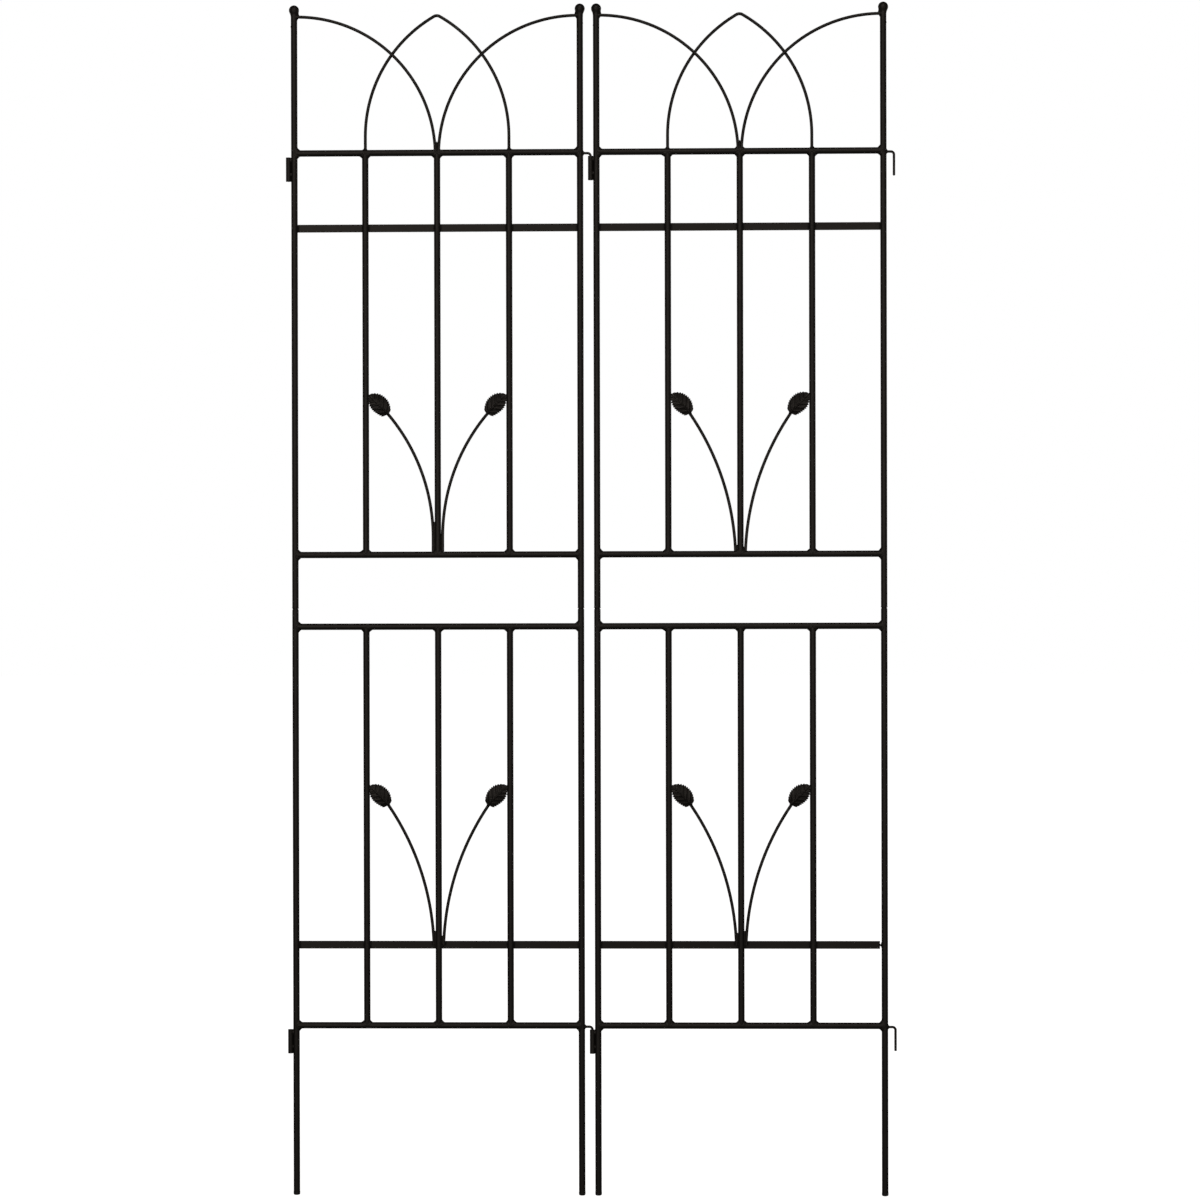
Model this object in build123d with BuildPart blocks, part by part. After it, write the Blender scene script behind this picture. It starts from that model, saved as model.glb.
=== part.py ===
from build123d import *

import os
from math import acos, asin, cos, degrees, pi, sin, sqrt

# A garden screen of two equal trellis panels, hooked together so that they fold.
# Each panel is a lower frame with stakes and an upper frame that plugs onto it.
# Millimetres. +Z is up, the front faces -Y. The origin is on the ground, in the
# middle of the screen's width, in the plane of the posts.

# Stock: steel tube, wire, flat bar and balls
TUBE_R = 5.4
BORE_R = 4.4
WIRE_R = 2.6
HOOK_R = 2.1
BAR_HEIGHT = 12.8
BAR_THICKNESS = 3.0
BALL_R = 8.5

# Panel layout: half the distance between the posts' axes, and between the rods' axes
POST_X = 240.2
ROD_PITCH = 120.8

# Heights of axes above the ground
TOTAL_HEIGHT = 2000.0
UPPER_TOP_RAIL = 1751.2
UPPER_BAR = 1625.7
UPPER_BOTTOM_RAIL = 1076.3
LOWER_TOP_RAIL = 955.6
LOWER_BAR = 420.0
LOWER_BOTTOM_RAIL = 285.2

# Plug joint in each post: the lower tube is swaged down to a spigot
SHOULDER_Z = 983.6
SWAGE = 3.0
SPIGOT_R = 4.3
SPIGOT_BORE_R = 3.3
SPIGOT_LENGTH = 50.0
SPIGOT_CHAMFER = 0.8
LIP_R = 5.65
LIP_HEIGHT = 1.6
SEAT_CLEARANCE = 0.05

# Bows on top: one bend radius serves the side bows and the pointed arch
BOW_R = 233.0
SIDE_BOW_TOP = 1979.9
SIDE_BOW_FOOT = 2.75
APEX_Z = 1981.8
APEX_ROUND = 10.0

# Leaf stems: arcs that leave the centre rod almost upright. Each bend is its radius and the
# height of its centre over the cross-member; one pair was bent tighter, above a straight foot.
STEM_BEND = (440.0, -12.0)
TIGHT_STEM_BENDS = {"left_upper": (320.0, 30.0)}
STEM_TOP = 241.0
STEM_RAIL_FOOT = 5.5

# Leaves: serrated ovate blanks of sheet, pressed to a shallow dome
LEAF_BASE_X = 82.8
LEAF_BASE_RISE = 236.0
LEAF_LENGTH = 45.5
LEAF_HALF_WIDTH = 14.3
LEAF_ANGLE = 44.7
LEAF_SHEET = 1.0
LEAF_DOME_R = 90.0
LEAF_TEETH = 10
TOOTH_DEPTH = 1.4
TOOTH_LEAN = 0.6
LEAF_SKEW = 0.82
LEAF_FULLNESS = 0.7

# Hooks and sockets that hold two panels together
HOOK_REACH = 17.7
HOOK_DROP = 2.0
HOOK_LEG = 40.0
HOOK_BEND = 5.0
HOOK_CHAMFER = 0.6
SOCKET_R = 4.4
SOCKET_BORE_R = 2.6
SOCKET_TOP_DROP = 7.0
SOCKET_LENGTH = 40.0

# Stake end caps
CAP_R = 5.6
CAP_HEIGHT = 6.0
CAP_ROUND = 2.4
CAP_STEM_R = 4.35
CAP_STEM_LENGTH = 12.0
CAP_CHAMFER = 0.6

# Cutting: how near to a tube's axis a coped end reaches, and the length of a cutter
COPE_TIP = 2.5
COPE_CUTTER = 30.0

# Flat bars lap the backs of the posts; one was welded on off centre
BAR_LAP = 4.0
BAR_SLIP = {"right_lower": -6.2}

# Derived places
BALL_Z = TOTAL_HEIGHT - BALL_R
TUBE_TOP = BALL_Z - sqrt(BALL_R**2 - TUBE_R**2)
SPIGOT_FOOT = SHOULDER_Z + SWAGE
SPIGOT_TOP = SPIGOT_FOOT + SPIGOT_LENGTH
SWAGE_TO_BORE = SWAGE * (TUBE_R - BORE_R) / (TUBE_R - SPIGOT_R)
UPPER_FOOT = SHOULDER_Z + SWAGE_TO_BORE + SEAT_CLEARANCE
BAR_Y = TUBE_R + BAR_THICKNESS / 2
BAR_LENGTH = 2 * (POST_X - TUBE_R + BAR_LAP)
SOCKET_REACH = TUBE_R + SOCKET_R
HINGE_GAP = HOOK_REACH + SOCKET_REACH
TOTAL_WIDTH = 4 * POST_X + 2 * HINGE_GAP + SOCKET_R + HOOK_R
LEFT_CENTRE = SOCKET_R + SOCKET_REACH + POST_X - TOTAL_WIDTH / 2
RIGHT_CENTRE = LEFT_CENTRE + 2 * POST_X + HINGE_GAP
CENTRES = {"left": LEFT_CENTRE, "right": RIGHT_CENTRE}


def upright(x, z=0.0, y=0.0):
    """Plane that faces the front, with its local x to the right and its local y up."""
    return Plane(origin=(x, y, z), x_dir=(1, 0, 0), z_dir=(0, -1, 0))


def save(piece, node):
    """Labels a finished piece and writes it as one STEP file."""
    piece.part.label = node
    export_step(piece.part, f"parts/{node}.step")


def tube_between(start, end, cutter_turn):
    """Tube from one tube's axis to another's, with both ends coped to those tubes."""
    run = Vector(*end) - Vector(*start)
    along = run.normalized()
    with BuildPart() as tube:
        with BuildSketch(Plane(origin=Vector(*start) + along * COPE_TIP, z_dir=along)):
            Circle(TUBE_R)
            Circle(BORE_R, mode=Mode.SUBTRACT)
        extrude(amount=run.length - 2 * COPE_TIP)
        with Locations(start, end):
            Cylinder(TUBE_R, COPE_CUTTER, rotation=cutter_turn, mode=Mode.SUBTRACT)
    return tube


def rail(centre, level):
    """Round rail between a panel's posts."""
    return tube_between((centre - POST_X, 0, level), (centre + POST_X, 0, level), (0, 0, 0))


def rod(x, low, high):
    """Upright rod between two round rails."""
    return tube_between((x, 0, low), (x, 0, high), (0, 90, 0))


def flat_bar(centre, level, slip=0.0):
    """Flat bar on edge behind the rods and the posts."""
    with BuildPart() as bar:
        with Locations((centre + slip, BAR_Y, level)):
            Box(BAR_LENGTH, BAR_THICKNESS, BAR_HEIGHT)
    return bar


def turned(x, outline):
    """Solid of revolution about the upright axis at x, from (radius, height) points."""
    with BuildPart() as solid:
        with BuildSketch(upright(x)):
            with BuildLine():
                Polyline(*outline, close=True)
            make_face()
        revolve(axis=Axis((x, 0, 0), (0, 0, 1)))
    return solid


def lower_post(x):
    """Stake and lower post in one tube, swaged at its top into a spigot."""
    return turned(
        x,
        [
            (BORE_R, CAP_HEIGHT),
            (TUBE_R, CAP_HEIGHT),
            (TUBE_R, SHOULDER_Z),
            (SPIGOT_R, SPIGOT_FOOT),
            (SPIGOT_R, SPIGOT_TOP - SPIGOT_CHAMFER),
            (SPIGOT_R - SPIGOT_CHAMFER, SPIGOT_TOP),
            (SPIGOT_BORE_R, SPIGOT_TOP),
            (SPIGOT_BORE_R, SPIGOT_FOOT),
            (BORE_R, SHOULDER_Z),
        ],
    )


def upper_post(x):
    """Upper post tube, with a small rolled lip at its foot and a seat for its ball."""
    tube = turned(
        x,
        [
            (BORE_R, UPPER_FOOT),
            (LIP_R, UPPER_FOOT),
            (LIP_R, UPPER_FOOT + LIP_HEIGHT),
            (TUBE_R, UPPER_FOOT + LIP_HEIGHT + LIP_R - TUBE_R),
            (TUBE_R, TUBE_TOP),
            (BORE_R, TUBE_TOP),
        ],
    )
    with tube:
        with Locations((x, 0, BALL_Z)):
            Sphere(BALL_R, mode=Mode.SUBTRACT)
    return tube


def finials(centre):
    """Ball on top of each post."""
    with BuildPart() as balls:
        with Locations((centre - POST_X, 0, BALL_Z), (centre + POST_X, 0, BALL_Z)):
            Sphere(BALL_R)
    return balls


def side_bow(centre, side):
    """Wire bow from the top of one post to the middle of the top rail."""
    bow_x = side * (SIDE_BOW_FOOT + BOW_R)
    bow_z = SIDE_BOW_TOP - BOW_R
    foot_angle = degrees(asin((UPPER_TOP_RAIL + COPE_TIP - bow_z) / BOW_R))
    with BuildPart() as bow:
        with BuildLine(upright(centre, y=-WIRE_R)) as route:
            Line((side * (POST_X - COPE_TIP), SIDE_BOW_TOP), (bow_x, SIDE_BOW_TOP))
            CenterArc((bow_x, bow_z), BOW_R, 90, side * (90 - foot_angle))
        with BuildSketch(Plane(origin=route.line @ 0, z_dir=route.line % 0)):
            Circle(WIRE_R)
        sweep()
        with Locations((centre + side * POST_X, 0, SIDE_BOW_TOP)):
            Cylinder(TUBE_R, COPE_CUTTER, mode=Mode.SUBTRACT)
        with Locations((centre, 0, UPPER_TOP_RAIL)):
            Cylinder(TUBE_R, COPE_CUTTER, rotation=(0, 90, 0), mode=Mode.SUBTRACT)
    return bow


def centre_arch(centre):
    """Pointed wire arch that stands on the top rail over the outer rods."""
    offset = BOW_R - ROD_PITCH
    flank = BOW_R - APEX_ROUND
    rise = sqrt(flank**2 - offset**2)
    spring_z = APEX_Z - APEX_ROUND - rise
    sweep_angle = degrees(acos(offset / flank))
    with BuildPart() as arch:
        with BuildLine(upright(centre, y=WIRE_R)) as route:
            Line((-ROD_PITCH, UPPER_TOP_RAIL + COPE_TIP), (-ROD_PITCH, spring_z))
            CenterArc((offset, spring_z), BOW_R, 180, -sweep_angle)
            CenterArc((0, spring_z + rise), APEX_ROUND, 180 - sweep_angle, 2 * sweep_angle - 180)
            CenterArc((-offset, spring_z), BOW_R, sweep_angle, -sweep_angle)
            Line((ROD_PITCH, spring_z), (ROD_PITCH, UPPER_TOP_RAIL + COPE_TIP))
        with BuildSketch(Plane(origin=route.line @ 0, z_dir=route.line % 0)):
            Circle(WIRE_R)
        sweep()
        with Locations((centre - ROD_PITCH, 0, UPPER_TOP_RAIL), (centre + ROD_PITCH, 0, UPPER_TOP_RAIL)):
            Cylinder(TUBE_R, COPE_CUTTER, rotation=(0, 90, 0), mode=Mode.SUBTRACT)
    return arch


def stems(centre, level, foot_rise, bend):
    """Pair of curved wire stems that part from the centre rod above a cross-member."""
    radius, bend_rise = bend
    start_rise = max(foot_rise, bend_rise)
    low = degrees(asin((start_rise - bend_rise) / radius))
    high = degrees(asin((STEM_TOP - bend_rise) / radius))
    foot_x = TUBE_R + WIRE_R
    with BuildPart() as pair:
        for side in (-1, 1):
            with BuildLine(upright(centre, z=level)) as route:
                if start_rise > foot_rise:
                    Line((side * foot_x, foot_rise), (side * foot_x, start_rise))
                start = 90 + side * (90 - low)
                CenterArc((side * (foot_x + radius), bend_rise), radius, start, side * (low - high))
            with BuildSketch(Plane(origin=route.line @ 0, z_dir=route.line % 0)):
                Circle(WIRE_R)
            sweep()
    return pair


def leaf_width_share(along):
    """Share of a leaf's full width at a fraction of its length from the stem."""
    return sin(pi * along**LEAF_SKEW) ** LEAF_FULLNESS


def leaf_outline():
    """Serrated leaf edge: base, teeth along one side, tip, teeth back along the other."""
    edge = []
    for tooth in range(1, LEAF_TEETH):
        notch = tooth / LEAF_TEETH
        point = (tooth + TOOTH_LEAN) / LEAF_TEETH
        edge.append((notch * LEAF_LENGTH, leaf_width_share(notch) * LEAF_HALF_WIDTH))
        reach = LEAF_HALF_WIDTH + TOOTH_DEPTH
        edge.append((point * LEAF_LENGTH, leaf_width_share(point) * reach))
    back = [(u, -v) for u, v in reversed(edge)]
    return [(0, 0), *edge, (LEAF_LENGTH, 0), *back]


def leaves(centre, level):
    """Pair of domed leaves in front of the stems' ends, tips against the outer rods."""
    base = Vector(centre + LEAF_BASE_X, 0, level + LEAF_BASE_RISE)
    along = Vector(cos(LEAF_ANGLE * pi / 180), 0, sin(LEAF_ANGLE * pi / 180))
    inner_r = LEAF_DOME_R - LEAF_SHEET
    dome_y = sqrt(inner_r**2 - (LEAF_LENGTH / 2) ** 2) - WIRE_R
    dome_centre = base + along * (LEAF_LENGTH / 2) + Vector(0, dome_y, 0)
    with BuildPart() as pair:
        with BuildSketch(Plane(origin=base, x_dir=along, z_dir=(0, -1, 0))):
            with BuildLine():
                Polyline(*leaf_outline(), close=True)
            make_face()
        extrude(amount=BALL_R)
        with Locations(dome_centre):
            Sphere(LEAF_DOME_R, mode=Mode.INTERSECT)
            Sphere(inner_r, mode=Mode.SUBTRACT)
        mirror(about=Plane.YZ.offset(centre))
    return pair


def hook(post_x, level):
    """Wire hook: an arm from the post's side and a leg that drops into a socket."""
    with BuildPart() as wire:
        with BuildLine(upright(post_x, z=level - HOOK_DROP)) as route:
            FilletPolyline((COPE_TIP, 0), (HOOK_REACH, 0), (HOOK_REACH, -HOOK_LEG), radius=HOOK_BEND)
        with BuildSketch(Plane(origin=route.line @ 0, z_dir=route.line % 0)):
            Circle(HOOK_R)
        sweep()
        chamfer(wire.edges().sort_by(Axis.Z)[0], HOOK_CHAMFER)
        with Locations((post_x, 0, level)):
            Cylinder(TUBE_R, COPE_CUTTER, mode=Mode.SUBTRACT)
    return wire


def socket(post_x, level):
    """Short upright tube on the post's outer side that takes a neighbour's hook."""
    with BuildPart() as sleeve:
        with BuildSketch(Plane(origin=(post_x - SOCKET_REACH, 0, level - SOCKET_TOP_DROP))):
            Circle(SOCKET_R)
            Circle(SOCKET_BORE_R, mode=Mode.SUBTRACT)
        extrude(amount=-SOCKET_LENGTH)
    return sleeve


def stake_caps(centre):
    """Rounded plastic plug in the foot of each post."""
    feet = [(centre - POST_X, 0), (centre + POST_X, 0)]
    with BuildPart() as caps:
        with BuildSketch(Plane.XY):
            with Locations(*feet):
                Circle(CAP_R)
        extrude(amount=CAP_HEIGHT)
        fillet(caps.edges().group_by(Axis.Z)[0], CAP_ROUND)
        with BuildSketch(Plane.XY.offset(CAP_HEIGHT)):
            with Locations(*feet):
                Circle(CAP_STEM_R)
        extrude(amount=CAP_STEM_LENGTH)
        chamfer(caps.edges().group_by(Axis.Z)[-1], CAP_CHAMFER)
    return caps


def upper_frame(side, centre):
    """Every piece of one panel's upper frame, by node name."""
    rods = {"left": centre - ROD_PITCH, "centre": centre, "right": centre + ROD_PITCH}
    bend = TIGHT_STEM_BENDS.get(f"{side}_upper", STEM_BEND)
    pieces = {
        "post_left": upper_post(centre - POST_X),
        "post_right": upper_post(centre + POST_X),
        "finials": finials(centre),
        "top_rail": rail(centre, UPPER_TOP_RAIL),
        "flat_bar": flat_bar(centre, UPPER_BAR),
        "bottom_rail": rail(centre, UPPER_BOTTOM_RAIL),
        "side_bow_left": side_bow(centre, -1),
        "side_bow_right": side_bow(centre, 1),
        "centre_arch": centre_arch(centre),
        "stems": stems(centre, UPPER_BOTTOM_RAIL, STEM_RAIL_FOOT, bend),
        "leaves": leaves(centre, UPPER_BOTTOM_RAIL),
        "hook": hook(centre + POST_X, UPPER_TOP_RAIL),
        "socket": socket(centre - POST_X, UPPER_TOP_RAIL),
    }
    for name, x in rods.items():
        pieces[f"rod_{name}"] = rod(x, UPPER_BOTTOM_RAIL, UPPER_TOP_RAIL)
    return {f"{side}_upper_{name}": piece for name, piece in pieces.items()}


def lower_frame(side, centre):
    """Every piece of one panel's lower frame, by node name."""
    rods = {"left": centre - ROD_PITCH, "centre": centre, "right": centre + ROD_PITCH}
    slip = BAR_SLIP.get(f"{side}_lower", 0.0)
    pieces = {
        "post_left": lower_post(centre - POST_X),
        "post_right": lower_post(centre + POST_X),
        "top_rail": rail(centre, LOWER_TOP_RAIL),
        "flat_bar": flat_bar(centre, LOWER_BAR, slip),
        "bottom_rail": rail(centre, LOWER_BOTTOM_RAIL),
        "stems": stems(centre, LOWER_BAR, 0.0, STEM_BEND),
        "leaves": leaves(centre, LOWER_BAR),
        "hook": hook(centre + POST_X, LOWER_BOTTOM_RAIL),
        "socket": socket(centre - POST_X, LOWER_BOTTOM_RAIL),
        "stake_caps": stake_caps(centre),
    }
    for name, x in rods.items():
        pieces[f"rod_{name}"] = rod(x, LOWER_BOTTOM_RAIL, LOWER_TOP_RAIL)
    return {f"{side}_lower_{name}": piece for name, piece in pieces.items()}


os.makedirs("parts", exist_ok=True)
for panel_side, panel_centre in CENTRES.items():
    panel = {**upper_frame(panel_side, panel_centre), **lower_frame(panel_side, panel_centre)}
    for node_name, finished in panel.items():
        save(finished, node_name)
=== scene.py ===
from math import asin, cos, pi, radians, sin, sqrt

import bmesh
import bpy
from mathutils import Matrix, Vector, noise


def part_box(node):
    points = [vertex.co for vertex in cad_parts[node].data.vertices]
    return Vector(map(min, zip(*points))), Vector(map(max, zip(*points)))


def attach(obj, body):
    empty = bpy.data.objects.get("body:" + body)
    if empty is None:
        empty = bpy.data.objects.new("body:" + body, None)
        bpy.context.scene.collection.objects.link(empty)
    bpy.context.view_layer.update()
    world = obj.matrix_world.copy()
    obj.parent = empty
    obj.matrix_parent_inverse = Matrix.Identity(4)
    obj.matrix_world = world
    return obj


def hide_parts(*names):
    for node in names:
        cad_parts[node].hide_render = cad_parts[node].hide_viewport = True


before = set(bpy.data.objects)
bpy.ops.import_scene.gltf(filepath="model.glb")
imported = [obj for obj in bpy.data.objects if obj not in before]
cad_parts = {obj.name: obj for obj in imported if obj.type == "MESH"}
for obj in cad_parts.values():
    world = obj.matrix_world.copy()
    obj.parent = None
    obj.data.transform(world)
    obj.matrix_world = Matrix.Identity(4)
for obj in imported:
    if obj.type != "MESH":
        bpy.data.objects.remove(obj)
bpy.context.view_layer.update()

# Pieces are worked out in millimetres and scaled to metres as their meshes are made.
MM = 0.001
TOTAL_HEIGHT = 2000.0
TUBE_R = 5.4
WIRE_R = 2.6
HOOK_R = 2.1
HOOK_DROP = 2.0
BALL_R = 8.5
BOW_R = 233.0
BOW_FOOT_X = 2.75
BOW_WELD_X = 2.85
SIDE_BOW_TOP = 1979.9
APEX_Z = 1981.8
APEX_ROUND = 10.0
ROD_PITCH = 120.8
# Radius of a stem's bend, and the height over the stem's level where it starts
STEM_BEND = (440.0, -12.0)
TIGHT_STEM_BENDS = {"left_upper": (320.0, 30.0)}
LEAF_BASE = Vector((82.8, 0.0, 236.0))
LEAF_TILT = radians(44.7)
LEAF_LENGTH = 45.5
LEAF_SHEET = 0.9
# Size of the fillet welds between tubes
FILLET = 4.6
# Softened edge of the flat bars, in metres
SOFT_EDGE = 0.0006
# Sides with a bar seam at a panel's first and last upright; the others have both
BAR_END_SIDES = {0: (1,), 4: (-1,)}
# Heights of the stem webs left and right of the centre rod, over the stems' level. The webs are
# weld and also painted shade: a dark fill in the narrow gaps where only shade shows.
GAP_SHADE_WEB_HEIGHTS = {
    "left_upper": (55.0, 33.0),
    "right_upper": (15.0, 12.0),
    "left_lower": (24.0, 16.0),
    "right_lower": (21.0, 24.0),
}
BOW_FILLETS = {"left": 1.3, "right": 3.6}
PANEL_SEEDS = {"left": 11, "right": 47}
SIDES = (-1, 1)
RIGHT = Vector((1, 0, 0))
UP = Vector((0, 0, 1))


def middle(node):
    """Centre of a node's box, in millimetres."""
    low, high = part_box(node)
    return (Vector(low) + Vector(high)) / (2 * MM)


def mix(a, b, share):
    return a + (b - a) * share


# ---------------------------------------------------------------- camera, lights, floor

CAMERA_PLACE = (0.128, -5.0, 1.018)
CAMERA_TURN = 1.29
CAMERA_DIP = 0.21
CAMERA_ROLL = -0.124
LENS = 89.41
SENSOR_WIDTH = 36.0

camera_data = bpy.data.cameras.new("camera")
camera_data.sensor_width = SENSOR_WIDTH
camera_data.lens = LENS
camera = bpy.data.objects.new("camera", camera_data)
bpy.context.scene.collection.objects.link(camera)
camera.matrix_world = (
    Matrix.Translation(CAMERA_PLACE)
    @ Matrix.Rotation(radians(CAMERA_TURN), 4, "Z")
    @ Matrix.Rotation(radians(90.0 - CAMERA_DIP), 4, "X")
    @ Matrix.Rotation(radians(CAMERA_ROLL), 4, "Z")
)
bpy.context.scene.camera = camera
bpy.context.scene.view_settings.view_transform = "Standard"


LIGHT_COLOUR = (1.0, 0.88, 0.78)
WORLD_COLOUR = (1.0, 0.97, 0.94, 1.0)
WORLD_STRENGTH = 0.05
BACKDROP_COLOUR = (1.0, 1.0, 1.0, 1.0)


def soft_light(name, place, target, width, height, watts):
    """Upright soft box of warm light that points at a target, in metres."""
    data = bpy.data.lights.new(name, "AREA")
    data.shape = "RECTANGLE"
    data.size = width
    data.size_y = height
    data.energy = watts
    data.color = LIGHT_COLOUR
    light = bpy.data.objects.new(name, data)
    bpy.context.scene.collection.objects.link(light)
    aim = Vector(target) - Vector(place)
    turn = aim.to_track_quat("-Z", "Y").to_matrix().to_4x4()
    light.matrix_world = Matrix.Translation(place) @ turn


soft_light("key", (-2.3, -6.0, 1.65), (0, 0, 1.1), 1.9, 3.2, 42.0)
soft_light("fill", (2.3, -6.0, 1.3), (0, 0, 0.8), 1.9, 2.5, 25.0)
soft_light("top", (0.3, -3.6, 4.6), (0, 0, 1.1), 3.0, 1.4, 27.0)
soft_light("back_left", (-5.2, 3.6, 1.8), (0, 0, 1.0), 1.6, 3.0, 16.0)
soft_light("back_right", (5.2, 3.6, 1.8), (0, 0, 1.0), 1.6, 3.0, 16.0)

world = bpy.data.worlds.new("studio")
bpy.context.scene.world = world
world.use_nodes = True
nodes, links = world.node_tree.nodes, world.node_tree.links
nodes.clear()
seen = nodes.new("ShaderNodeBackground")
seen.inputs["Color"].default_value = BACKDROP_COLOUR
lit = nodes.new("ShaderNodeBackground")
lit.inputs["Color"].default_value = WORLD_COLOUR
lit.inputs["Strength"].default_value = WORLD_STRENGTH
path = nodes.new("ShaderNodeLightPath")
choose = nodes.new("ShaderNodeMixShader")
world_out = nodes.new("ShaderNodeOutputWorld")
links.new(path.outputs["Is Camera Ray"], choose.inputs["Fac"])
links.new(lit.outputs["Background"], choose.inputs[1])
links.new(seen.outputs["Background"], choose.inputs[2])
links.new(choose.outputs["Shader"], world_out.inputs["Surface"])

# ---------------------------------------------------------------- materials


CLOUD_SCALE = 14.0
GLOSS_SCALE = 60.0
PEEL_STRENGTH = 0.10


def coat(name, dark, light, roughness, grain, grain_depth, specular=0.5):
    """Powder coat: two close shades in clouds, uneven gloss and a fine orange peel.

    grain is the peel's noise scale and grain_depth its depth in metres."""
    material = bpy.data.materials.new(name)
    material.use_nodes = True
    nodes, links = material.node_tree.nodes, material.node_tree.links
    shader = nodes["Principled BSDF"]
    shader.inputs["Specular IOR Level"].default_value = specular
    place = nodes.new("ShaderNodeTexCoord")
    clouds = nodes.new("ShaderNodeTexNoise")
    clouds.inputs["Scale"].default_value = CLOUD_SCALE
    clouds.inputs["Detail"].default_value = 5.0
    shades = nodes.new("ShaderNodeValToRGB")
    shades.color_ramp.elements[0].position = 0.35
    shades.color_ramp.elements[0].color = (*dark, 1.0)
    shades.color_ramp.elements[1].position = 0.68
    shades.color_ramp.elements[1].color = (*light, 1.0)
    gloss_noise = nodes.new("ShaderNodeTexNoise")
    gloss_noise.inputs["Scale"].default_value = GLOSS_SCALE
    gloss_noise.inputs["Detail"].default_value = 3.0
    gloss = nodes.new("ShaderNodeMapRange")
    gloss.inputs["To Min"].default_value = roughness - 0.06
    gloss.inputs["To Max"].default_value = roughness + 0.08
    peel = nodes.new("ShaderNodeTexNoise")
    peel.inputs["Scale"].default_value = grain
    peel.inputs["Detail"].default_value = 2.0
    bump = nodes.new("ShaderNodeBump")
    bump.inputs["Strength"].default_value = PEEL_STRENGTH
    bump.inputs["Distance"].default_value = grain_depth
    for texture in (clouds, gloss_noise, peel):
        links.new(place.outputs["Object"], texture.inputs["Vector"])
    links.new(clouds.outputs["Fac"], shades.inputs["Fac"])
    links.new(shades.outputs["Color"], shader.inputs["Base Color"])
    links.new(gloss_noise.outputs["Fac"], gloss.inputs["Value"])
    links.new(gloss.outputs["Result"], shader.inputs["Roughness"])
    links.new(peel.outputs["Fac"], bump.inputs["Height"])
    links.new(bump.outputs["Normal"], shader.inputs["Normal"])
    return material


FINISHES = {
    "tube_coat": coat(
        "tube_coat_black", (0.0105, 0.0092, 0.0080), (0.0165, 0.0148, 0.0130),
        roughness=0.44, grain=650.0, grain_depth=0.00006, specular=0.45,
    ),
    "wire_coat": coat(
        "wire_coat_black", (0.0085, 0.0072, 0.0062), (0.0135, 0.0118, 0.0102),
        roughness=0.42, grain=650.0, grain_depth=0.00006,
    ),
    "leaf_coat": coat(
        "leaf_coat_black", (0.0075, 0.0064, 0.0056), (0.0125, 0.0108, 0.0094),
        roughness=0.33, grain=520.0, grain_depth=0.00003, specular=0.32,
    ),
    "cap_plastic": coat(
        "cap_black", (0.0110, 0.0105, 0.0100), (0.0150, 0.0145, 0.0138),
        roughness=0.52, grain=1100.0, grain_depth=0.00006,
    ),
}
weld_finish = coat(
    "weld_coat_black", (0.0100, 0.0088, 0.0076), (0.0165, 0.0146, 0.0128),
    roughness=0.44, grain=380.0, grain_depth=0.00030,
)

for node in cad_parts.values():
    for place, old in enumerate(node.data.materials):
        slot_name = old.name.split(".")[0] if old else ""
        if slot_name in FINISHES:
            node.material_slots[place].material = FINISHES[slot_name]

FLOOR_HALF = 30.0
FLOOR_COLOUR = (0.90, 0.90, 0.90, 1.0)
floor_material = bpy.data.materials.new("floor_white")
floor_material.use_nodes = True
floor_shader = floor_material.node_tree.nodes["Principled BSDF"]
floor_shader.inputs["Base Color"].default_value = FLOOR_COLOUR
floor_shader.inputs["Roughness"].default_value = 0.9
floor_shader.inputs["Specular IOR Level"].default_value = 0.1
floor_shader.inputs["Emission Color"].default_value = BACKDROP_COLOUR
floor_shader.inputs["Emission Strength"].default_value = 1.0
floor_mesh = bpy.data.meshes.new("floor")
floor_corners = [
    (x * FLOOR_HALF, y * FLOOR_HALF, 0.0)
    for x, y in ((-1, -1), (1, -1), (1, 1), (-1, 1))
]
floor_mesh.from_pydata(floor_corners, [], [(0, 1, 2, 3)])
floor_mesh.materials.append(floor_material)
floor = bpy.data.objects.new("floor", floor_mesh)
bpy.context.scene.collection.objects.link(floor)
floor.visible_glossy = False
floor.visible_diffuse = False

# ---------------------------------------------------------------- mesh building


class Shell:
    """Points and faces of a piece made of several closed shells, in millimetres."""

    def __init__(self):
        self.points = []
        self.faces = []

    def rings(self, rows, wrap_rows, poles=None):
        """Quads between equal closed rings; the row of rings closes too, or poles cap it."""
        start = len(self.points)
        count = len(rows[0])
        for row in rows:
            self.points.extend(row)
        last = len(rows) if wrap_rows else len(rows) - 1
        for r in range(last):
            near = start + r * count
            far = start + (r + 1) % len(rows) * count
            for k in range(count):
                n = (k + 1) % count
                self.faces.append((near + k, near + n, far + n, far + k))
        if poles:
            for pole, row in ((poles[0], 0), (poles[1], len(rows) - 1)):
                tip = len(self.points)
                self.points.append(pole)
                near = start + row * count
                for k in range(count):
                    n = (k + 1) % count
                    first, second = (n, k) if row == 0 else (k, n)
                    self.faces.append((near + first, near + second, tip))

    def piece(self, name, body, finish):
        """Makes the Blender object, shades it smooth and lets it ride on a body."""
        mesh = bpy.data.meshes.new(name)
        mesh.from_pydata([tuple(Vector(p) * MM) for p in self.points], [], self.faces)
        mesh.update()
        fix_normals(mesh)
        mesh.shade_smooth()
        mesh.materials.append(finish)
        made = bpy.data.objects.new(name, mesh)
        bpy.context.scene.collection.objects.link(made)
        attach(made, body)
        return made


def fix_normals(mesh):
    """Turns every shell's faces outwards."""
    work = bmesh.new()
    work.from_mesh(mesh)
    bmesh.ops.recalc_face_normals(work, faces=work.faces)
    work.to_mesh(mesh)
    work.free()


def wobble(seed, *where):
    """Smooth noise from -1 to 1 that stays the same in every run."""
    spot = Vector((where + (0.0, 0.0, 0.0))[:3])
    return noise.noise(spot + Vector((seed * 3.71, seed * 1.37, seed * 0.53)))


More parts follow.
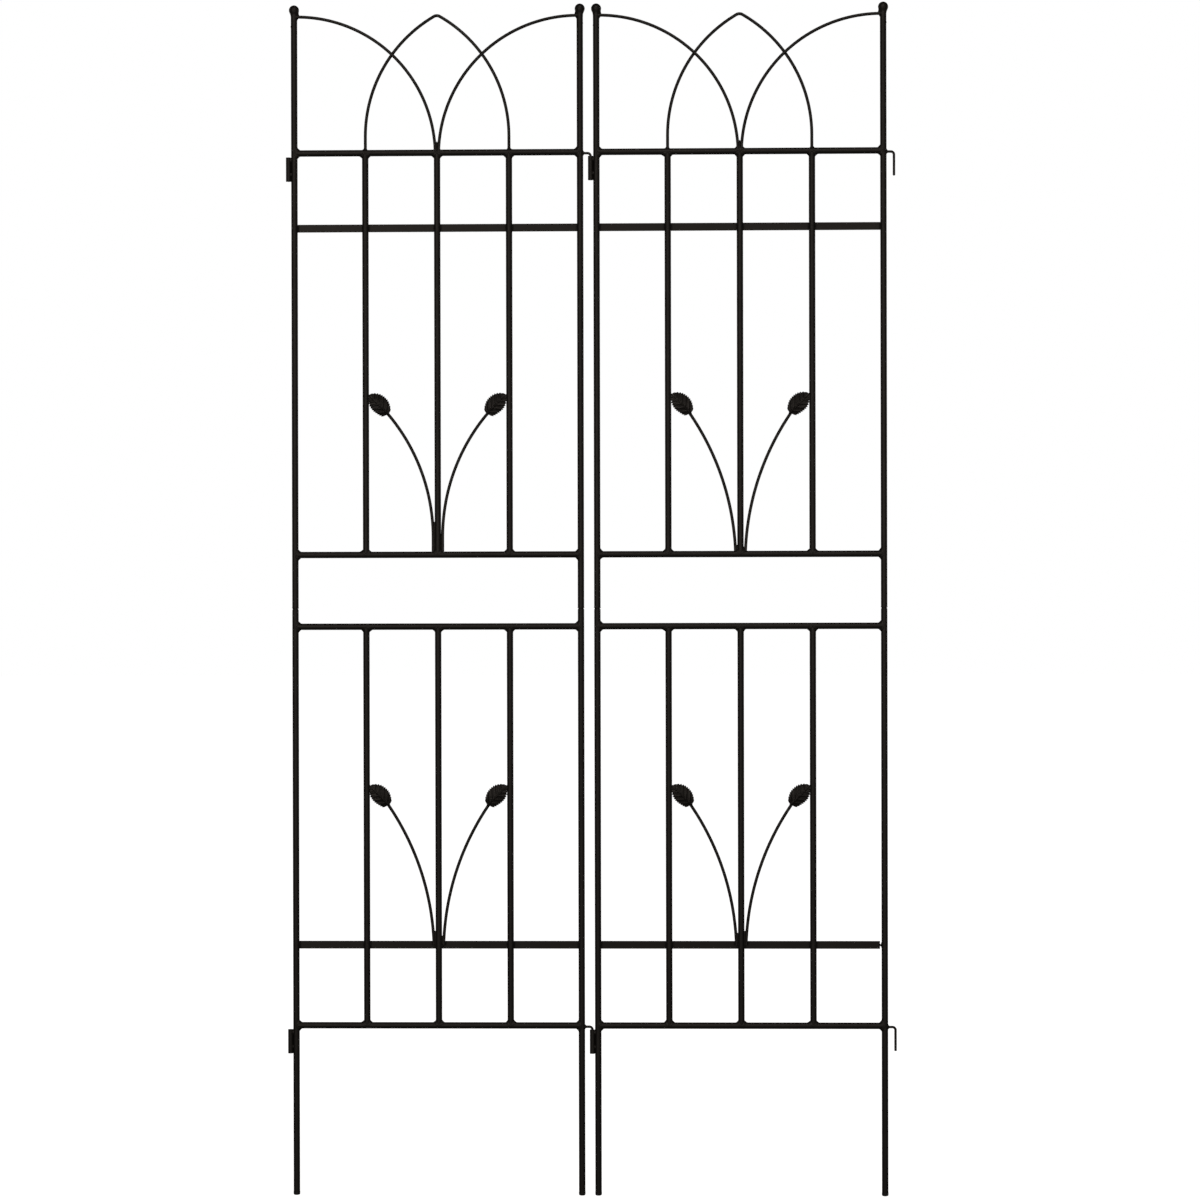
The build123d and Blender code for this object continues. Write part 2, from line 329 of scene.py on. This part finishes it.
BEAD_STEPS = 6
BEAD_SIDES = 14


def bead(shell, route, radii, seed, rough=0.12, flat=1.0):
    """Lumpy run of weld along a few points, with rounded ends.

    rough is how lumpy it is, and flat its depth for a width of 1."""
    steps = BEAD_STEPS * (len(route) - 1)
    along_all = (route[-1] - route[0]).normalized()
    across = along_all.cross(Vector((0, 1, 0)))
    if across.length < 0.1:
        across = RIGHT.copy()
    across.normalize()
    out = across.cross(along_all).normalized()
    rows = []
    for step in range(steps + 1):
        share = step / steps * (len(route) - 1)
        k = min(int(share), len(route) - 2)
        centre = mix(route[k], route[k + 1], share - k)
        radius = mix(radii[k], radii[k + 1], share - k)
        end = min(step, steps - step) / steps
        radius *= sqrt(min(1.0, 0.25 + 5.0 * end))
        row = []
        for turn in range(BEAD_SIDES):
            angle = 2 * pi * turn / BEAD_SIDES
            c, s = cos(angle), sin(angle)
            swell = 1 + rough * wobble(seed, centre.x * 0.5 + c, centre.z * 0.5 + s)
            row.append(centre + (across * c + out * s * flat) * radius * swell)
        rows.append(row)
    poles = (route[0] - along_all * radii[0] * 0.35, route[-1] + along_all * radii[-1] * 0.35)
    shell.rings(rows, False, poles)


TEE_STEPS = 36
# How far a fillet weld goes inside both tubes, and its least size at their sides
TEE_SUNK = 0.7
TEE_LEAST = 0.9


def tee(shell, at, branch, main, branch_r, seed, spread, climb, y=0.0):
    """Fillet weld all round a tube or wire that ends on the side of a round tube.

    at is on the main tube's axis, branch points away from it, and y is how far the
    branch's axis lies off the main tube's axis. spread is the reach along the main
    tube on its two sides, and climb the reach up the branch."""
    side = branch.cross(main)
    shift = y * side.y
    rows = []
    for step in range(TEE_STEPS):
        angle = 2 * pi * step / TEE_STEPS
        c, s = cos(angle), sin(angle)
        in_plane = abs(c) ** 1.5
        wave = wobble(seed, c * 1.4, s * 1.4)
        reach = mix(TEE_LEAST, spread[1] if c > 0 else spread[0], in_plane) * (1 + 0.3 * wave)
        rise = mix(TEE_LEAST, climb, in_plane) * (1 - 0.25 * wave)
        roll = asin(max(-1.0, min(1.0, (shift + branch_r * s) / TUBE_R)))

        def on_main(distance, depth=0.0):
            turned = roll + distance * s / TUBE_R
            r = TUBE_R - depth
            return Vector(((branch_r + distance) * c, r * sin(turned), r * cos(turned)))

        root = on_main(0.0)
        high = Vector((branch_r * c, shift + branch_r * s, root.z + rise))
        low = on_main(reach)
        inner_r = branch_r - TEE_SUNK
        inside = Vector((inner_r * c, shift + inner_r * s, root.z + rise))
        outward = Vector((c, s + sin(roll), cos(roll))).normalized()
        bulge = mix(0.75, 0.15, in_plane) + 0.12 * wobble(seed + 9, c * 6, s * 6)
        pull = mix(root, (high + low) / 2, 0.42) + outward * bulge
        row = [inside, high]
        for share in (0.25, 0.5, 0.75):
            row.append(high * (1 - share) ** 2 + pull * 2 * share * (1 - share) + low * share**2)
        row += [low, on_main(reach, TEE_SUNK)]
        rows.append([at + main * p.x + side * p.y + branch * p.z for p in row])
    shell.rings(rows, True)


# ---------------------------------------------------------------- welds of one panel


def stem_x(height, bend):
    """Distance of a stem's axis from the centre rod's axis at a height over its level."""
    radius, bend_rise = bend
    rise = max(0.0, height - bend_rise)
    return TUBE_R + WIRE_R + radius - sqrt(radius**2 - rise**2)


def frame_corners(shell, post_x, centre, level, seed):
    """Welds where a round rail meets its two posts."""
    for side in SIDES:
        lean = 1.0 + 0.35 * wobble(seed, side * 2.0, level * 0.01)
        tee(
            shell, Vector((centre + side * post_x, 0, level)), RIGHT * -side, UP, TUBE_R,
            seed + side, spread=(FILLET * lean, FILLET * (2.0 - lean) * 1.1), climb=FILLET,
        )


def rod_ends(shell, xs, level, side, seed):
    """Welds where the rods meet a round rail: below it for side -1, above it for 1."""
    for k, x in enumerate(xs):
        lean = 1.0 + 0.4 * wobble(seed, k * 1.7, level * 0.013)
        tee(
            shell, Vector((x, 0, level)), UP * side, RIGHT, TUBE_R,
            seed + 5 * k, spread=(FILLET * lean, FILLET * (2.0 - lean)), climb=FILLET * 0.95,
        )


# Middle of a bar seam: beside an upright's axis and behind it
SEAM_X = 5.0
SEAM_Y = 4.2


def bar_seams(shell, xs, level, seed):
    """Short upright beads beside each rod and post, where they lie against a flat bar."""
    for k, x in enumerate(xs):
        for side in BAR_END_SIDES.get(k, SIDES):
            reach = 4.2 + 0.8 * wobble(seed, k * 2.0, side)
            lift = 0.8 * wobble(seed + 3, k * 2.0, side)
            top = Vector((x + side * SEAM_X, SEAM_Y, level + lift + reach))
            foot = Vector((x + side * SEAM_X, SEAM_Y, level + lift - reach))
            bulge = mix(top, foot, 0.5) + Vector((side * 0.3, -0.2, 0))
            bead(shell, [top, bulge, foot], [0.9, 1.15, 0.9], seed + 3 * k + side)


# Widest radius of a stem web, the weld web that is also painted shade in the stem gaps
GAP_SHADE_WEB_MOST_R = 2.6


def stem_webs_and_gap_shade(shell, centre, level, heights, seed, foot, bend):
    """Weld that fills the narrow gap between each stem and the centre rod; it is also painted
    shade, a dark fill where the gap shows only shade.
    """
    for side, height in zip(SIDES, heights):
        route, radii = [], []
        for share in (0.0, 0.25, 0.5, 0.75, 1.0):
            h = mix(foot, height, share)
            gap = stem_x(max(h, 0.0), bend) - WIRE_R - TUBE_R
            route.append(Vector((centre + side * (TUBE_R + gap / 2), -0.4, level + h)))
            radii.append(min(GAP_SHADE_WEB_MOST_R, gap / 2 + 1.1))
        bead(shell, route, radii, seed + side, rough=0.16, flat=0.85)


def leaf_tacks(shell, centre, level, seed):
    """Tacks at each leaf's base on its stem and at its tip on the outer rod."""
    for side in SIDES:
        base = Vector((centre + side * (LEAF_BASE.x + 1.5), -1.6, level + LEAF_BASE.z + 0.5))
        along = Vector((side * cos(LEAF_TILT), 0, sin(LEAF_TILT)))
        bead(shell, [base - along * 3.5, base, base + along * 4.5], [2.2, 2.5, 1.4], seed + side)
        tip = base + along * (LEAF_LENGTH - 2.5) + Vector((0, -1.3, 0))
        bead(shell, [tip - along * 1.5, tip + along * 2.4], [1.3, 2.1], seed + 7 + side)


def hook_root(shell, post_x, level, seed):
    """Weld of the hook's arm on the post's side."""
    at = Vector((post_x, 0, level - HOOK_DROP))
    tee(shell, at, RIGHT, UP, HOOK_R, seed, spread=(2.2, 3.2), climb=2.4)


# Height over the rail, and length, of each tack beside a socket tube
SOCKET_TACKS = ((-8.0, 7.0), (-33.0, 5.5))
SOCKET_TACK_Y = 2.6


def socket_tacks(shell, post_x, level, seed):
    """Two tacks in the groove between the socket tube and the post, front and back."""
    x = post_x - TUBE_R - 0.05
    for side in SIDES:
        for k, (top, length) in enumerate(SOCKET_TACKS):
            high = Vector((x, side * SOCKET_TACK_Y, level + top))
            low = high - UP * length
            bead(shell, [high, mix(high, low, 0.5), low], [1.5, 2.0, 1.4], seed + k, flat=0.8)


# Collar of a finial: height over the ball's centre, radius, and radius towards the bow
COLLAR = (
    (2.0, 7.4, 7.4), (-1.7, 8.25, 8.25), (-3.7, 7.75, 7.9), (-6.0, 6.6, 8.1),
    (-8.4, 5.85, 8.9), (-10.8, 5.55, 9.1), (-13.0, 5.45, 8.0), (-15.2, 5.42, 6.4),
    (-17.2, 5.2, 5.3), (-17.8, 4.2, 4.2),
)
COLLAR_SIDES = 40


def finial_welds(shell, post_x, inward, seed):
    """Collar under a ball, drawn out on the inner side to the start of the side bow."""
    top = TOTAL_HEIGHT - BALL_R
    rows = []
    for rise, plain, drawn in COLLAR:
        row = []
        for turn in range(COLLAR_SIDES):
            angle = 2 * pi * turn / COLLAR_SIDES
            c, s = cos(angle), sin(angle)
            inner = max(0.0, c * inward) ** 9
            r = mix(plain, drawn, inner) * (1 + 0.02 * wobble(seed, c * 2, s * 2, rise * 0.4))
            row.append(Vector((post_x + r * c, r * s, top + rise)))
        rows.append(row)
    ends = [Vector((post_x, 0, top + COLLAR[end][0])) for end in (0, -1)]
    shell.rings(rows, False, ends)
    # A spatter of weld on the post's outer side, below the collar
    drop = 25.0 + 4.0 * wobble(seed, 1.0)
    spot = Vector((post_x - inward * 4.7, -1.5, top - drop))
    bead(shell, [spot, spot - UP * 3.0], [1.1, 0.9], seed + 2)


def bow_welds(shell, centre, level, x_out, seed, foot_size):
    """Feet of the bows on the top rail, and the tacks where bows and arch cross."""
    for side in SIDES:
        foot = Vector((centre + side * BOW_WELD_X, 0, level))
        tee(
            shell, foot, UP, RIGHT, WIRE_R, seed + side,
            spread=(foot_size, foot_size), climb=foot_size * 1.2, y=-WIRE_R,
        )
        leg = Vector((centre + side * x_out, 0, level))
        tee(
            shell, leg, UP, RIGHT, WIRE_R, seed + 4 + side,
            spread=(3.2 - side, 3.2 + side), climb=3.4, y=WIRE_R,
        )
    web_foot = Vector((centre, -WIRE_R, level + 3.5))
    web = [web_foot, web_foot + UP * 5.0, web_foot + UP * 9.5, web_foot + UP * 15.0]
    bead(shell, web, [2.0, 1.0, 1.1, 1.2], seed)
    # Right side bow and right flank of the arch, as circles; they cross at the upper meeting
    bow = Vector((BOW_FOOT_X + BOW_R, SIDE_BOW_TOP - BOW_R))
    arch = Vector((ROD_PITCH - BOW_R, arch_spring()))
    link = arch - bow
    half = link.length / 2
    across = Vector((-link.y, link.x)).normalized() * sqrt(BOW_R**2 - half**2)
    meet = max((bow + link / 2 + across, bow + link / 2 - across), key=lambda p: p.y)
    for side in SIDES:
        spot = Vector((centre + side * meet.x, 0, meet.y))
        tack = [spot - UP * 2.4, spot, spot + UP * 2.4]
        bead(shell, tack, [1.4, 2.3, 1.4], seed + 11 + side, rough=0.3, flat=0.8)


def arch_spring():
    """Height where the arch's upright legs turn into its flanks."""
    flank = BOW_R - APEX_ROUND
    return APEX_Z - APEX_ROUND - sqrt(flank**2 - (BOW_R - ROD_PITCH) ** 2)


for panel, seed in PANEL_SEEDS.items():
    centre = middle(f"{panel}_upper_rod_centre").x
    post_x = middle(f"{panel}_upper_post_right").x - centre
    rod_x = middle(f"{panel}_upper_rod_right").x - centre
    rods = [centre - rod_x, centre, centre + rod_x]
    uprights = [centre - post_x, *rods, centre + post_x]
    for part in ("upper", "lower"):
        body = f"{panel}_{part}"
        names = ("top_rail", "flat_bar", "bottom_rail")
        levels = {name: middle(f"{body}_{name}").z for name in names}
        stem_level = levels["bottom_rail"] if part == "upper" else levels["flat_bar"]
        hook_level = levels["top_rail"] if part == "upper" else levels["bottom_rail"]
        corners = Shell()
        frame_corners(corners, post_x, centre, levels["top_rail"], seed)
        frame_corners(corners, post_x, centre, levels["bottom_rail"], seed + 2)
        rod_ends(corners, rods, levels["top_rail"], -1, seed + 3)
        rod_ends(corners, rods, levels["bottom_rail"], 1, seed + 4)
        corners.piece(f"{body}_frame_welds", body, weld_finish)
        seams = Shell()
        bar_seams(seams, uprights, levels["flat_bar"], seed + 5)
        # Where a bar stops short of its right post, a neck of weld bridges the gap
        bar_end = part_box(f"{body}_flat_bar")[1][0] / MM
        if uprights[-1] - TUBE_R - bar_end > 0:
            end = Vector((bar_end - 2.0, 6.4, levels["flat_bar"]))
            post_side = Vector((uprights[-1] - 4.0, 3.2, levels["flat_bar"]))
            neck = [end, mix(end, post_side, 0.55), post_side]
            bead(seams, neck, [2.0, 1.7, 2.1], seed + 9, rough=0.2)
        seams.piece(f"{body}_bar_welds", body, weld_finish)
        small = Shell()
        foot = 4.0 if part == "upper" else -5.0
        bend = TIGHT_STEM_BENDS.get(body, STEM_BEND)
        # Stem webs: weld that is also painted shade, a dark fill for the shaded gaps beside the
        # centre rod
        stem_webs_and_gap_shade(small, centre, stem_level, GAP_SHADE_WEB_HEIGHTS[body], seed + 6, foot, bend)
        leaf_tacks(small, centre, stem_level, seed + 8)
        small.piece(f"{body}_stem_welds_and_gap_shade", body, weld_finish)
        fittings = Shell()
        hook_root(fittings, centre + post_x, hook_level, seed + 9)
        socket_tacks(fittings, centre - post_x, hook_level, seed + 10)
        fittings.piece(f"{body}_fitting_welds", body, weld_finish)
    tops = Shell()
    for side in SIDES:
        finial_welds(tops, centre + side * post_x, -side, seed + 20 + side)
    tops.piece(f"{panel}_upper_finial_welds", f"{panel}_upper", weld_finish)
    bows = Shell()
    bow_level = middle(f"{panel}_upper_top_rail").z
    bow_welds(bows, centre, bow_level, rod_x, seed + 30, BOW_FILLETS[panel])
    bows.piece(f"{panel}_upper_bow_welds", f"{panel}_upper", weld_finish)

# ---------------------------------------------------------------- leaves

# Half widths along a leaf, from its base: (share of length, width above, width below)
LEAF_WIDTHS = (
    (0.00, 1.3, 1.3), (0.025, 6.4, 3.0), (0.07, 9.2, 8.6), (0.15, 11.9, 10.8),
    (0.30, 15.3, 12.6), (0.45, 16.4, 13.6), (0.60, 15.9, 13.2), (0.72, 14.3, 11.2),
    (0.82, 11.6, 8.6), (0.90, 8.7, 5.9), (0.96, 5.6, 3.4), (0.99, 3.4, 1.9),
    (1.00, 0.9, 0.9),
)
LEAF_ROWS = 132
LEAF_COLUMNS = 44
LEAF_TEETH = 12
TOOTH_DEPTH = 2.1
TOOTH_LEAN = 0.7
LEAF_DOME = 2.9
# How far the sheet's two ends stand in front of the stem's axis
LEAF_FORWARD = 2.9
MIDRIB_HEIGHT = 1.8
VEIN_HEIGHT = 0.60
CUSHION_HEIGHT = 0.60
# Where the side veins leave the midrib, in shares of the leaf's length
VEIN_STARTS = (0.02, 0.21, 0.40, 0.59, 0.78)


def leaf_half_width(share, below):
    """Width of one half of a leaf at a share of its length, by smooth steps between rows."""
    column = 2 if below else 1
    rows = LEAF_WIDTHS
    k = max(i for i in range(len(rows) - 1) if rows[i][0] <= share or i == 0)
    before, start = rows[max(k - 1, 0)], rows[k]
    end, after = rows[k + 1], rows[min(k + 2, len(rows) - 1)]
    t = (share - start[0]) / (end[0] - start[0])
    rise = (end[column] - before[column]) / max(end[0] - before[0], 1e-6) * (end[0] - start[0])
    fall = (after[column] - start[column]) / max(after[0] - start[0], 1e-6) * (end[0] - start[0])
    h = t * t * (3 - 2 * t)
    return (
        start[column] + (end[column] - start[column]) * h
        + rise * t * (1 - t) ** 2 - fall * t * t * (1 - t)
    )


def leaf_relief(u, v):
    """Pressed pattern of a leaf in millimetres: midrib, side veins and cushions between them."""
    fade = max(0.0, 1.0 - u / LEAF_LENGTH)
    rib = pow(2.0, -((v / (0.9 + 0.5 * fade)) ** 2))
    height = MIDRIB_HEIGHT * (0.55 + 0.45 * fade) * rib
    reach = abs(v)
    start = (u - 0.72 * reach - 0.010 * reach * reach) / LEAF_LENGTH
    nearest = min(abs(start - s) for s in VEIN_STARTS) * LEAF_LENGTH * 0.75
    grown = min(1.0, reach / 3.0)
    height += VEIN_HEIGHT * pow(2.0, -((nearest / 0.8) ** 2)) * (0.4 + 0.6 * grown)
    height += CUSHION_HEIGHT * (1 - cos(pi * min(1.0, nearest / 3.2))) * grown
    return height


def leaf_point(row, column, seed):
    """One point of a leaf's middle surface in leaf coordinates: along, across, outward."""
    share = row / (LEAF_ROWS - 1)
    s = column / (LEAF_COLUMNS - 1) * 2 - 1
    below = s < 0
    tooth = (share * LEAF_TEETH + (0.35 if below else 0.0)) % 1.0
    saw = tooth / 0.72 if tooth < 0.72 else (1 - tooth) / 0.28
    margin = max(0.0, (abs(s) - 0.72) / 0.28) ** 1.5
    taper = min(1.0, share * 8, (1 - share) * 6)
    width = leaf_half_width(share, below) + (saw - 0.55) * TOOTH_DEPTH * margin * taper
    u = share * LEAF_LENGTH + saw * TOOTH_LEAN * margin * taper
    v = s * width
    dome = LEAF_DOME * (1 - (2 * u / LEAF_LENGTH - 1) ** 2) - 0.0075 * v * v
    curl = 0.35 * margin * wobble(seed, u * 0.12, s)
    return u, v, LEAF_FORWARD + dome + leaf_relief(u, v) + curl


def leaf_shell(shell, base, side, seed):
    """One leaf as a closed sheet: a front skin, a back skin and the edge between them."""
    along = Vector((side * cos(LEAF_TILT), 0, sin(LEAF_TILT)))
    across = Vector((-side * sin(LEAF_TILT), 0, cos(LEAF_TILT)))
    front = Vector((0, -1, 0))
    start = len(shell.points)
    skins = ([], [])
    for row in range(LEAF_ROWS):
        for column in range(LEAF_COLUMNS):
            u, v, out = leaf_point(row, column, seed)
            spot = base + along * u + across * v
            skins[0].append(spot + front * (out + LEAF_SHEET / 2))
            skins[1].append(spot + front * (out - LEAF_SHEET / 2))
    shell.points.extend(skins[0] + skins[1])
    count = LEAF_ROWS * LEAF_COLUMNS
    for row in range(LEAF_ROWS - 1):
        for column in range(LEAF_COLUMNS - 1):
            a = start + row * LEAF_COLUMNS + column
            b, c, d = a + 1, a + LEAF_COLUMNS + 1, a + LEAF_COLUMNS
            shell.faces.append((a, b, c, d))
            shell.faces.append((count + d, count + c, count + b, count + a))
    last_row, last_column = LEAF_ROWS - 1, LEAF_COLUMNS - 1
    rim = [(0, c) for c in range(last_column)]
    rim += [(r, last_column) for r in range(last_row)]
    rim += [(last_row, c) for c in range(last_column, 0, -1)]
    rim += [(r, 0) for r in range(last_row, 0, -1)]
    for (r0, c0), (r1, c1) in zip(rim, rim[1:] + rim[:1]):
        a = start + r0 * LEAF_COLUMNS + c0
        b = start + r1 * LEAF_COLUMNS + c1
        shell.faces.append((b, a, count + a, count + b))


for panel in ("left", "right"):
    for part in ("upper", "lower"):
        body = f"{panel}_{part}"
        centre = middle(f"{body}_rod_centre").x
        foot_node = "bottom_rail" if part == "upper" else "flat_bar"
        level = middle(f"{body}_{foot_node}").z
        pair = Shell()
        for side in SIDES:
            base = Vector((centre + side * LEAF_BASE.x, 0, level + LEAF_BASE.z))
            leaf_shell(pair, base, side, len(body) + side * 3)
        made = pair.piece(f"{body}_pressed_leaves", body, FINISHES["leaf_coat"])
        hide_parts(f"{body}_leaves")

# ---------------------------------------------------------------- softened edges of flat bars

for name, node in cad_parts.items():
    if name.endswith("_flat_bar"):
        soften = node.modifiers.new("soft_edge", "BEVEL")
        soften.width = SOFT_EDGE
        soften.segments = 2
